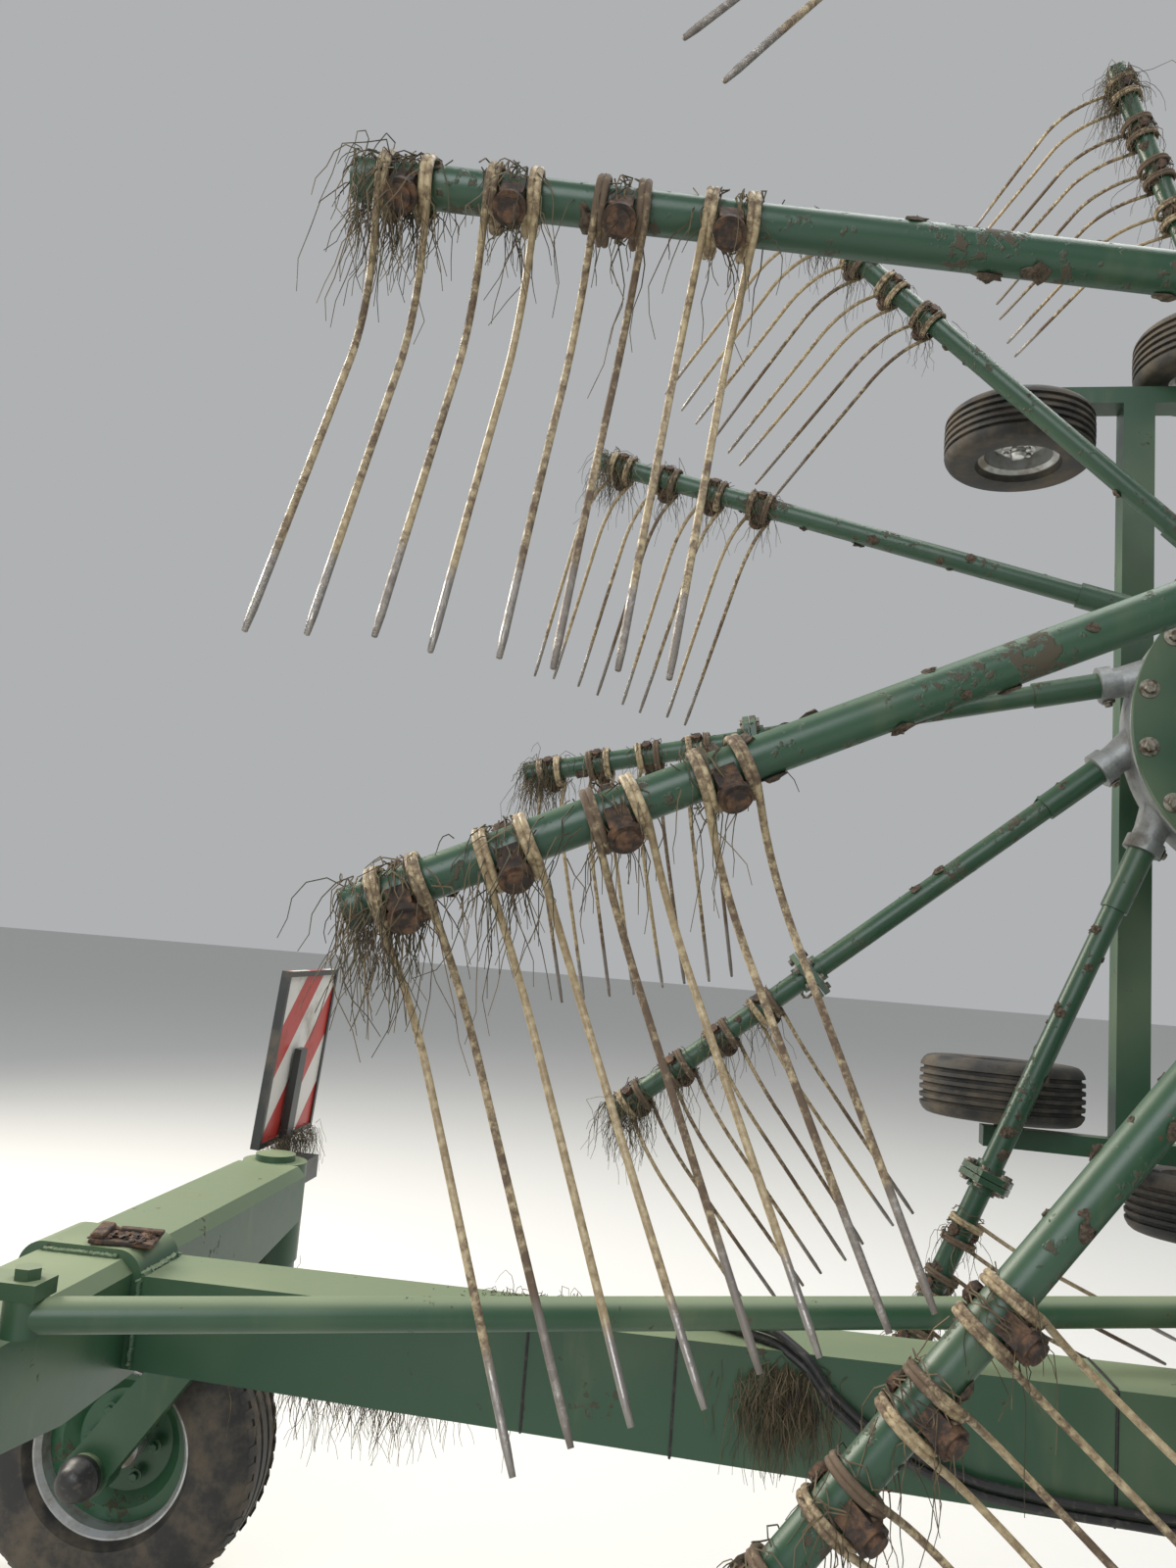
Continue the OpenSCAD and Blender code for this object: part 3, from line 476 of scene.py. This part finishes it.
class Shape(Bundle):
    """Solid pieces by revolving, extruding and sweeping, gathered into one mesh."""

    def add(self, points, faces):
        points = np.asarray(points, float)
        self.points.append(points)
        self.faces += [[i + self.count for i in face] for face in faces]
        self.values.append(np.zeros(len(points)))
        self.seeds.append(np.zeros(len(points)))
        self.count += len(points)

    def skin(self, rings, closed):
        """Rings of equally many points, joined by quads; an open run of rings gets end faces."""
        grid = np.arange(len(rings) * len(rings[0])).reshape(len(rings), -1)
        if closed:
            grid = np.vstack([grid, grid[:1]])
        nxt = np.roll(grid, -1, axis=1)
        faces = np.stack([grid[:-1], nxt[:-1], nxt[1:], grid[1:]], axis=-1).reshape(-1, 4).tolist()
        if not closed:
            faces += [grid[0][::-1].tolist(), grid[-1].tolist()]
        self.add(np.concatenate(rings), faces)

    def turned(self, profile, origin, axis, steps, closed=True, spin=0.0):
        """A profile of radius and height, turned round an axis."""
        axis = np.asarray(axis, float) / np.linalg.norm(axis)
        ring = spokes(axis, np.arange(steps) * 2 * math.pi / steps + spin)
        self.skin([np.asarray(origin) + r * ring + h * axis for r, h in profile], closed)

    def bolt(self, origin, axis, across, height, spin=0.0):
        """A hexagon head on its washer, with the top's chamfer."""
        r = across / math.sqrt(3)
        washer = [(across * 0.95, 0), (across * 0.95, height * 0.2), (across * 0.85, height * 0.25)]
        head = [(r, height * 0.2), (r, height * 0.88), (r * 0.86, height)]
        self.turned(washer, origin, axis, 20, False)
        self.turned(head, origin, axis, 6, False, spin)

    def block(self, low, high, bevel, turn_by):
        """A bar with bevelled edges, turned about its own middle."""
        low, high = np.asarray(low, float), np.asarray(high, float)
        (x0, y0, z0), (x1, y1, z1) = low, high
        b = min(bevel, *((high - low) * 0.45))
        outline = np.array([(x0 + b, y0), (x1 - b, y0), (x1, y0 + b), (x1, y1 - b),
                            (x1 - b, y1), (x0 + b, y1), (x0, y1 - b), (x0, y0 + b)])
        middle = (low + high) / 2
        inner = outline + np.sign(middle[:2] - outline) * b * 0.7
        levels = ((inner, z0), (outline, z0 + b), (outline, z1 - b), (inner, z1))
        rings = [np.column_stack([ring, np.full(8, z)]) for ring, z in levels]
        self.skin([(ring - middle) @ turn_by.T + middle for ring in rings], False)

    def piece(self, name, material, body, slot, replaced=()):
        made = super().piece(name, material, body, slot, replaced)
        made.data.set_sharp_from_angle(angle=crease)


def tyre_section(outer, width, rim_size, crown, grooves, groove_w, groove_d):
    """Half-section points from bead to bead over the tread, as radius and place along the axle."""
    foot = rim_size / 2 + 0.0003
    half = [(foot, width * 0.36), (foot + 0.006, width * 0.41)]
    for a in np.radians(range(-60, 61, 15)):
        rise, bulge = 0.45 + 0.42 * math.sin(a), 0.88 + 0.12 * math.cos(a)
        half.append((foot + (outer - foot) * rise, width / 2 * bulge))
    half.append((outer - crown * 0.42, width / 2 - crown * 0.5))
    half.append((outer - crown * 0.12, width / 2 - crown))
    line = list(half)
    tread = width / 2 - crown * 1.3
    for place in np.linspace(tread * 0.86, -tread * 0.86, grooves):
        lift = outer - crown * 0.06 * (place / tread) ** 2
        for shift, down in ((0.62, 0), (0.38, groove_d), (-0.38, groove_d), (-0.62, 0)):
            line.append((lift - down, place + groove_w * shift))
    return line + [(r, -h) for r, h in reversed(half)]


beam_middle, beam_half, gear_drop, gear_half, stagger = 335, 250, 290.0, 1000, 116.0
small_tread = tyre_section(outer=0.200, width=0.150, rim_size=0.214, crown=0.022,
                           grooves=5, groove_w=0.009, groove_d=0.009)
hub_face, nut_circle = 0.030, 0.032
hub_dome = [(0.022, 0), (0.022, 0.012), (0.016, 0.020), (0.006, 0.023)]
for side, rotor in ((1, "left"), (-1, "right")):
    axle = to_world(side, np.array([(0, 0, 0.0), (0, 0, 1000.0)]))
    axle = axle[1] - axle[0]
    for outer, row in ((1, "outer"), (-1, "inner")):
        for step, end_name in ((1, "front"), (-1, "rear")):
            spot = (step * beam_half - beam_middle, gear_drop, outer * (gear_half + step * stagger))
            centre = to_world(side, np.array([spot]))[0]
            tag = f"{rotor}_{row}_{end_name}"
            tyre = Shape()
            tyre.turned(small_tread, centre, axle, 72)
            tyre.piece(f"{tag}_ribbed_tyre", rubber_look.material, f"{tag}_wheel", "tyre", [f"{tag}_tyre"])
            fixings = Shape()
            for way in (-1, 1):
                face = centre + axle * hub_face * way
                for spoke in spokes(axle, np.arange(5) * math.tau / 5 + 0.3):
                    fixings.bolt(face + nut_circle * spoke, axle * way, 0.014, 0.010)
                fixings.turned(hub_dome, face, axle * way, 24, False)
            fixings.piece(f"{tag}_hub_fixings", steel_look.material, f"{tag}_wheel", "rim")

# Rear wheels: 760 mm high implement tyres with three ribs and cut shoulders, on silver rims whose
# dish is painted green; a dome cap of black plastic closes each hub on the inner side.
dish_green = green_paint("wheel dish green", (0.020, 0.080, 0.036), (0.08, 0.14, 0.07), 0.4, 0.5)
cap_look = Look("black cap plastic", Roughness=0.45)
cap_grain = cap_look.noise(90, 3).between(0.5, 0.75)
cap_look.feed("Base Color", cap_look.blend((0.012, 0.012, 0.012), (0.06, 0.05, 0.04), cap_grain))
rear_x, rear_y, rear_z = -2.62, 1.01, 0.38
rear_tread = tyre_section(outer=0.3745, width=0.255, rim_size=0.414, crown=0.040,
                          grooves=4, groove_w=0.012, groove_d=0.011)
lug_count, lug_foot, lug_seat, lug_heights = 54, 0.0125, 0.3735, (-0.010, 0.0052)
lug_line = [(-lug_foot, 0.068), (lug_foot, 0.072), (lug_foot, 0.098), (-lug_foot, 0.101)]
lug_faces = [[0, 1, 2, 3], [4, 7, 6, 5], [0, 4, 5, 1], [1, 5, 6, 2], [2, 6, 7, 3], [3, 7, 4, 0]]
dish_line = [(0.054, -0.024), (0.118, -0.024), (0.152, 0.0065), (0.1905, 0.0065),
             (0.1905, 0.0305), (0.158, 0.0305), (0.126, -0.0005), (0.054, -0.0005)]
wheel_nuts, nut_circle, nut_depths = 6, 0.088, {-1: 0.030, 1: -0.024}
dish_gap, cap_y = 0.003, 0.777
cap_line = [(0.052, 0), (0.052, 0.016), (0.046, 0.022), (0.040, 0.050), (0.030, 0.060), (0.012, 0.066)]
for side, name in ((1, "left"), (-1, "right")):
    centre = np.array((rear_x, rear_y * side, rear_z))
    outward = np.array((0, side, 0.0))
    tyre = Shape()
    tyre.turned(rear_tread, centre, outward, 96)
    for angle in np.arange(lug_count) * math.tau / lug_count:
        radial = np.array((math.cos(angle), 0, math.sin(angle)))
        sideways = np.array((-math.sin(angle), 0, math.cos(angle)))
        frame_of = np.stack([sideways, outward, radial], axis=1)
        for way in (-1, 1):
            lug = np.array([(x, y, z) for z in lug_heights for x, y in lug_line])
            lug[4:, 1] -= 0.004
            lug[:, 1] *= way
            lug[:, 2] -= np.where(np.abs(lug[:, 1]) > 0.085, 0.010, 0)
            tyre.add(centre + (lug + (0, 0, lug_seat)) @ frame_of.T, lug_faces)
    replaced = [f"{name}_rear_tyre"]
    tyre.piece(f"{name}_rear_tyre_tread", rubber_look.material, f"{name}_rear_wheel", "tyre", replaced)
    dish = Shape()
    dish.turned(dish_line, centre - outward * dish_gap, -outward, 72)
    dish.piece(f"{name}_rear_dish", dish_green, f"{name}_rear_wheel", "green_paint")
    fixings = Shape()
    for way, depth in nut_depths.items():
        for angle in np.arange(wheel_nuts) * math.tau / wheel_nuts:
            spoke = np.array((math.cos(angle), 0, math.sin(angle)))
            fixings.bolt(centre + spoke * nut_circle + outward * depth, -outward * way, 0.020, 0.014)
    fixings.piece(f"{name}_rear_wheel_nuts", dish_green, f"{name}_rear_wheel", "rim")
    cap = Shape()
    cap.turned(cap_line, centre - outward * (rear_y - cap_y), -outward, 40, False)
    cap.piece(f"{name}_hub_cap", cap_look.material, f"{name}_knuckle", "tyre")

# Rotor fixings, zinc plated and gone dull: the cover plate's ring of hexagon bolts, the bolts of
# the arms' sockets and flange joints, and the bent locking pins of the arms that come off.
flanged = {1: (0, 11, 12), -1: (9, 10, 11)}
socket_bolt, flange_at, flange_circle, flange_bolts = 385, 1240, 46, 6
# Columns: how many bolts, their circle's radius, the place along the axis, the head's size.
cover_rings = ((16, 352, -120.3, 0.024), (10, 245, -137.7, 0.019))
pin_shaft = [(1205, 62, 20), (1215, 62, 20), (1265, 62, 20), (1275, 62, 20), (1283, 66, 26)]
pin_ring = [(1284, 74, 36), (1276, 78, 42), (1262, 76, 40), (1240, 70, 30)]
zinc_look = Look("dull zinc plating", Metallic=0.85)
haze = zinc_look.noise(50, 4, 0.65)
zinc = zinc_look.blend((0.25, 0.23, 0.19), (0.09, 0.07, 0.05), haze.between(0.42, 0.65))
zinc_look.feed("Base Color", zinc)
zinc_look.feed("Roughness", 0.42 + haze * 0.3)
for side, rotor in ((1, "left"), (-1, "right")):
    bolts = Shape()
    inward = to_world(side, np.array([(0, 0, 0.0), (0, -1000.0, 0)]))
    inward = inward[1] - inward[0]
    for count, radius, place, size in cover_rings:
        for a in range(count):
            angle = (a + 0.5) * math.tau / count
            spot = to_world(side, np.array([(radius * math.cos(angle), place, radius * math.sin(angle))]))[0]
            bolts.bolt(spot, inward, size, size * 0.6, a)
    for arm in range(arm_count):
        root, middle, *sockets = on_arm(side, arm, [(0, 0, 0), (socket_bolt, 0, 0),
                                                    (socket_bolt, 44, 0), (socket_bolt, 0, 44)])
        along_arm = middle - root
        for spot in sockets:
            bolts.bolt(spot, spot - middle, 0.017, 0.011)
        if arm in flanged[side]:
            for angle in (np.arange(flange_bolts) + 0.5) * math.tau / flange_bolts:
                y, z = flange_circle * math.cos(angle), flange_circle * math.sin(angle)
                for way in (-1, 1):
                    spot = on_arm(side, arm, [(flange_at + way * 15, y, z)])[0]
                    bolts.bolt(spot, along_arm * way, 0.016, 0.010)
            bolts.sweep(on_arm(side, arm, pin_shaft + pin_ring), 0.0042, 10, 0)
    bolts.piece(f"{rotor}_rotor_fixings", zinc_look.material, f"{rotor}_rotor", "bare_steel")

# Crop left on the rake: dry and still green stalks, wound round the coils and hanging from them,
# thickest at the arms' ends; more is caught on the beams and at the left warning panel's foot.
hay_look = Look("dry hay", Roughness=0.8)
seed = hay_look.node("ShaderNodeAttribute", {"attribute_name": "seed"}, out="Fac")
hay = hay_look.blend((0.030, 0.032, 0.016), (0.145, 0.105, 0.056), seed)
hay = hay_look.blend(hay, (0.045, 0.031, 0.020), hay_look.noise(25, 3).between(0.48, 0.68))
hay_look.feed("Base Color", hay)
stalk_counts, wraps, wrap_points = (250, 60, 44, 36), 9, 9
stalk_foot, stalk_out, wrap_reach, arm_end = 33, 60, 31, 1828
chance = np.random.default_rng(21)


def stalk(bundle, root, reach, spread, ahead, thick=0.0008):
    """One stalk from its root: it springs off in a direction, then hangs down with a kink or two."""
    steps = 5
    way = np.asarray(ahead, float) + chance.normal(0, spread, 3)
    way /= np.linalg.norm(way)
    path = [np.asarray(root, float)]
    for _ in range(steps):
        way = way * 0.55 + np.array((0, 0, -0.62)) + chance.normal(0, 0.27, 3)
        way /= np.linalg.norm(way)
        path.append(path[-1] + way * reach / steps)
    bundle.sweep(path, np.linspace(thick, thick * 0.5, len(path)), 3, 0, chance.random())


for side, rotor in ((1, "left"), (-1, "right")):
    crop = Shape()
    for arm in range(arm_count):
        for place, amount in zip(tine_places, stalk_counts):
            for _ in range(int(amount * chance.uniform(0.5, 1.3))):
                angle = chance.uniform(0, math.tau)
                x = place + chance.normal(0, 24)
                if place == tine_places[0]:
                    x = min(place + chance.normal(22, 30), arm_end)
                round_arm = np.array((0, math.cos(angle), math.sin(angle)))
                ends = [(x, 0, 0) + stalk_foot * round_arm, (x, 0, 0) + stalk_out * round_arm]
                foot, above = on_arm(side, arm, ends)
                hang = abs(chance.normal(0.055, 0.05)) + 0.02
                stalk(crop, foot, hang, 0.9, (above - foot) / 0.05, 0.001)
            for _ in range(wraps):
                angles = chance.uniform(0, math.tau) + np.arange(wrap_points) * 0.5
                reach = wrap_reach + chance.uniform(0, 9, wrap_points)
                x = place + chance.normal(0, 16) + chance.normal(0, 5, wrap_points)
                wrap = np.stack([x, reach * np.cos(angles), reach * np.sin(angles)], axis=1)
                crop.sweep(on_arm(side, arm, wrap), 0.0011, 3, 0, chance.random())
    crop.piece(f"{rotor}_rotor_crop", hay_look.material, f"{rotor}_rotor", "tine_steel")
crop = Shape()
# On the main beam, round the rear strap.
for _ in range(420):
    root = (chance.normal(-1.44, 0.055), chance.normal(0.045, 0.018), 1.122)
    stalk(crop, root, chance.uniform(0.03, 0.11), 0.9, (chance.normal(0, 1), chance.normal(0, 0.5), 0.9))
# Down the main beam's right side.
for _ in range(520):
    root = (chance.normal(-1.03, 0.035), -0.077, chance.uniform(1.02, 1.105))
    stalk(crop, root, chance.uniform(0.04, 0.13), 0.5, (chance.normal(0, 0.5), -0.5, 0.1))
# Under the main beam.
for _ in range(260):
    root = (chance.normal(-1.75, 0.09), chance.uniform(-0.06, 0.06), 0.955)
    stalk(crop, root, chance.uniform(0.03, 0.12), 0.5, (chance.normal(0, 0.5), 0, -0.5))
# Under the crossbeam's left arm.
for _ in range(520):
    root = (chance.normal(-2.30, 0.06), chance.uniform(0.50, 0.72), chance.uniform(0.93, 0.97))
    stalk(crop, root, chance.uniform(0.06, 0.24), 0.4, (chance.normal(0, 0.4), 0, -0.6))
# At the left panel's foot.
for _ in range(260):
    root = (chance.normal(-2.31, 0.015), chance.uniform(0.97, 1.30), chance.uniform(1.150, 1.175))
    stalk(crop, root, chance.uniform(0.04, 0.14), 0.7, (0.6, chance.normal(0, 0.6), 0.2))
crop.piece("frame_crop", hay_look.material, "frame", "tine_steel")

# Earth that was thrown on the arms' tubes and dried there: flat crumbly lumps of one to three
# centimetres, stuck to the paint.
earth_look = Look("dried earth", Roughness=0.95)
crumb = earth_look.noise(120, 5, 0.7)
dried = earth_look.blend((0.035, 0.025, 0.017), (0.105, 0.078, 0.052), crumb.between(0.35, 0.65))
earth_look.feed("Base Color", dried)
earth_look.bump(crumb, 0.003)
tube_radius, arm_lumps = 25.0, 16


def lump(bundle, spot, normal, size):
    """A flat irregular lump whose foot is sunk into the surface that it sticks to."""
    crust = [(size, 0), (size * 0.86, size * 0.2), (size * 0.5, size * 0.36), (size * 0.1, size * 0.4)]
    bundle.turned([(size * 0.3, -0.002), *crust], spot, normal, 9, False)
    rows = bundle.points[-1]
    rows += (rows - spot) * chance.normal(0, 0.22, (len(rows), 1))


for side, rotor in ((1, "left"), (-1, "right")):
    earth = Shape()
    for arm in range(arm_count):
        for _ in range(arm_lumps):
            angle, x = chance.uniform(0, math.tau), chance.uniform(420, 1800)
            y, z = math.cos(angle), math.sin(angle)
            foot, above = on_arm(side, arm, [(x, r * y, r * z) for r in (tube_radius, tube_radius + 1)])
            lump(earth, foot, above - foot, chance.uniform(0.005, 0.017))
    earth.piece(f"{rotor}_arm_earth", earth_look.material, f"{rotor}_rotor", "green_paint")

# Main beam's fittings: weld beads round the saddle plate, three rubber straps round the beam, and
# two hydraulic lines that come over its edge and run along its side to the headstock.
ripple = 0.007
fittings = Shape()


def bead(bundle, start, stop, size):
    """A weld bead as a run of overlapping ripples."""
    start, stop = np.asarray(start, float), np.asarray(stop, float)
    count = max(int(np.linalg.norm(stop - start) / ripple) * 2, 4)
    share = np.linspace(0, 1, count)
    path = start + (stop - start) * share[:, None] + chance.normal(0, size * 0.10, (count, 3))
    bundle.sweep(path, size * (0.85 + 0.18 * (np.arange(count) % 2)), 8, 0)


bead(fittings, (-2.1445, -0.074, 1.118), (-2.1445, 0.074, 1.118), 0.009)
for side in (-1, 1):
    bead(fittings, (-2.146, side * 0.0765, 1.114), (-2.146, side * 0.0765, 0.968), 0.007)
    for x in (-2.373, -2.147):
        bead(fittings, (x, side * 0.076, 0.97), (x, side * 0.076, 1.10), 0.006)
    bead(fittings, (-2.33, side * 0.076, 1.147), (-2.19, side * 0.076, 1.147), 0.006)
fittings.piece("frame_welds", frame_green, "frame", "green_paint")
straps = Shape()
y, top, strap_radius, line_radius = 0.0765, 1.1205, 0.0026, 0.0075
for x, low in ((-1.205, 0.933), (-1.455, 0.943), (-0.5, 0.915)):
    loop = np.array([(x, -y, low), (x, -y, top), (x, y, top), (x, y, low), (x, -y, low)])
    path = [a + (b - a) * t for a, b in zip(loop[:-1], loop[1:]) for t in (0.02, 0.5, 0.98)]
    straps.sweep(path, strap_radius, 6, 0)
line = np.array([(-1.20, 0.03, 1.129), (-1.12, -0.01, 1.129), (-1.04, -0.062, 1.128),
                 (-0.99, -0.087, 1.10), (-0.955, -0.087, 1.055), (-0.894, -0.087, 1.009),
                 (-0.80, -0.087, 0.967), (-0.708, -0.087, 0.942), (-0.58, -0.087, 0.93),
                 (-0.40, -0.087, 0.925), (0.2, -0.087, 0.925), (1.2, -0.086, 0.95), (2.2, -0.086, 0.985)])
part_way = np.linspace(0, 1, 8, endpoint=False)
smooth = np.array([a * (1 - t) + b * t for a, b in zip(line[:-1], line[1:]) for t in part_way])
kernel = np.array((1, 2, 3, 2, 1)) / 9
smooth[2:-2] = np.stack([np.convolve(smooth[:, c], kernel, "valid") for c in range(3)], axis=1)
for shift in (0.0, 0.017):
    straps.sweep(smooth + (0, -0.001, shift), line_radius, 10, 0)
straps.piece("beam_lines_and_straps", cap_look.material, "frame", "tyre")

# Steering fittings: castle nuts with split pins on the pins of the relay lever, rods and headstock,
# each on the part that holds its pin, and zinc plated as the rotors' fixings are.
# Columns: the foot's place on the pin's end, and the size across the flats.
nut_places = {"frame": (-0.300, -0.165, 1.2150, 0.042), "relay_lever": (-0.300, 0.065, 1.2474, 0.034),
              "headstock": (2.450, -0.165, 1.1868, 0.034), "left_knuckle": (-2.430, 0.880, 0.9298, 0.034),
              "right_knuckle": (-2.430, -0.880, 0.9298, 0.034)}
for body, (x, y, z, across) in nut_places.items():
    nuts = Shape()
    nuts.bolt((x, y, z), (0, 0, 1), across, across * 0.42)
    crown = [(across * 0.40, across * 0.36), (across * 0.38, across * 0.58), (across * 0.26, across * 0.60)]
    nuts.turned(crown, (x, y, z), (0, 0, 1), 20, False)
    split_pin = [(x + across * t, y, z + across * 0.5) for t in (-0.52, -0.2, 0.2, 0.52)]
    nuts.sweep(split_pin, across * 0.05, 8, 0)
    nuts.piece(f"{body}_pin_nuts", zinc_look.material, body, "bare_steel")

# Cylinders: a grooved gland nut closes each barrel round its rod, and a short hose fitting is
# screwed in near its base; both are bright plated.
gland_line = [(0.0365, 0.440), (0.0365, 0.452), (0.0340, 0.454), (0.0340, 0.458), (0.0365, 0.460),
              (0.0365, 0.4715), (0.0330, 0.4750), (0.0190, 0.4750), (0.0190, 0.4400)]
port_line, port_at, ram_side = [(0.011, 0.030), (0.011, 0.048), (0.008, 0.050)], 0.07, 176.0
for side, rotor in ((1, "left"), (-1, "right")):
    ends = np.array([(-side * ram_side, -870.0, -950.0), (-side * ram_side, -290.0, -1300.0)])
    base, far = to_world(side, ends)
    axis = (far - base) / np.linalg.norm(far - base)
    gland = Shape()
    gland.turned(gland_line, base, axis, 36)
    gland.turned(port_line, base + axis * port_at, np.cross(axis, (1, 0, 0)) * -side, 12, False)
    gland.piece(f"{rotor}_ram_gland", steel_look.material, f"{rotor}_ram_barrel", "bare_steel")

# Loose iron on the saddle: a rusty slotted shim of flat bar, left lying there unfixed and caked
# with earth.
shim = Shape()
tilted = about("Z", 0.25) @ about("Y", 0.05)
shim.block((-2.262, -0.062, 1.1605), (-2.150, 0.018, 1.1685), 0.002, tilted)
shim.block((-2.262, -0.066, 1.1685), (-2.236, 0.020, 1.1800), 0.003, tilted)
shim.block((-2.230, 0.000, 1.1685), (-2.152, 0.020, 1.1760), 0.002, tilted)
for _ in range(60):
    spot = np.array((chance.uniform(-2.26, -2.16), chance.uniform(-0.055, 0.015), 1.169))
    lump(shim, spot, (chance.normal(0, 0.3), chance.normal(0, 0.3), 1), chance.uniform(0.004, 0.011))
shim.piece("saddle_shim", rust_look.material, "frame", "rusty_steel")
